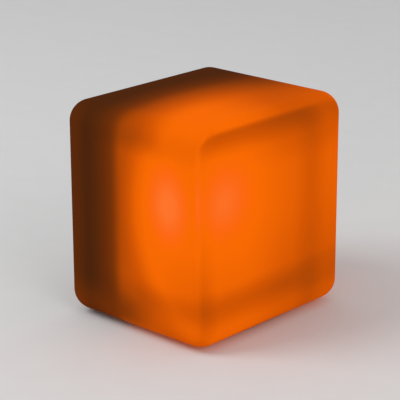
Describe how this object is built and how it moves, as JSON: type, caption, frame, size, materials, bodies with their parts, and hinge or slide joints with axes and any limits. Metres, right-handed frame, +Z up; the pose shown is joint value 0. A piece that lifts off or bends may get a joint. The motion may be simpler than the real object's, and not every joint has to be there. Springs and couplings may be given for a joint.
{
  "type": "cube light",
  "caption": "Free-standing garden cube light: a frosted amber rounded-cube shell that glows from a battery light column sealed into its underside, with a power button and a charge port door.",
  "frame": {"origin": "on the ground, under the middle of the cube, where the feet stand", "axes": "+Z up, the front is -Y, the charge port is on the underside's right half (+X)"},
  "size_m": [0.172, 0.196, 0.2025],
  "materials": {
    "amber_shell": "satin",
    "feet_rubber": "matte",
    "insert_brass": "machined",
    "seal_silicone": "matte",
    "screw_steel": "satin",
    "housing_plastic": "satin",
    "cover_plastic": "satin",
    "button_plastic": "satin",
    "vent_plastic": "matte",
    "pipe_acrylic": "polished",
    "switch_plastic": "satin",
    "socket_steel": "bright",
    "board_laminate": "satin",
    "component_epoxy": "satin",
    "cradle_plastic": "satin",
    "cell_wrap": "satin",
    "link_nickel": "bright",
    "strap_fabric": "woven",
    "post_aluminium": "machined",
    "led_board_white": "satin",
    "led_phosphor": "satin",
    "dome_frosted": "frosted",
    "lead_red": "satin",
    "lead_black": "satin"
  },
  "bodies": {
    "lamp": {"cube_shell": "amber_shell", "rubber_feet": "feet_rubber", "thread_inserts": "insert_brass", "flange_gasket": "seal_silicone", "cover_seal": "seal_silicone", "dome_seal": "seal_silicone", "lead_grommet": "seal_silicone", "flange_screws": "screw_steel", "cover_screws": "screw_steel", "board_screws": "screw_steel", "cradle_screws": "screw_steel", "post_screws": "screw_steel", "board_fixing_screws": "screw_steel", "dome_ring_screws": "screw_steel", "door_pin": "screw_steel", "button_spring": "screw_steel", "module_housing": "housing_plastic", "dome_ring": "housing_plastic", "bottom_cover": "cover_plastic", "vent_plug": "vent_plastic", "charge_light_pipe": "pipe_acrylic", "switch_body": "switch_plastic", "charge_socket": "socket_steel", "control_board": "board_laminate", "driver_board": "board_laminate", "board_components": "component_epoxy", "driver_components": "component_epoxy", "battery_cradle": "cradle_plastic", "battery_cell_front": "cell_wrap", "battery_cell_rear": "cell_wrap", "cell_links": "link_nickel", "cell_strap": "strap_fabric", "light_post": "post_aluminium", "led_board_right": "led_board_white", "led_board_rear": "led_board_white", "led_board_front": "led_board_white", "link_board": "led_board_white", "led_chips": "led_phosphor", "light_dome": "dome_frosted", "battery_lead_positive": "lead_red", "led_lead_positive": "lead_red", "battery_lead_negative": "lead_black", "led_lead_negative": "lead_black"},
    "button": {"power_button": "button_plastic", "button_seal": "seal_silicone", "switch_plunger": "switch_plastic"},
    "door": {"port_door": "cover_plastic", "door_seal": "seal_silicone"}
  },
  "joints": [
    {"name": "button_press", "type": "slide", "parent": "lamp", "child": "button", "axis": [0, 0, 1], "range_m": [0, 0.001], "stiffness_N_per_m": 400, "springref_m": -0.002, "deforming": ["button_spring"]},
    {"name": "door_hinge", "type": "hinge", "parent": "lamp", "child": "door", "pos_m": [0.015, -0.00442, 0.00768], "axis": [-1, 0, 0], "range_deg": [0, 95]}
  ]
}
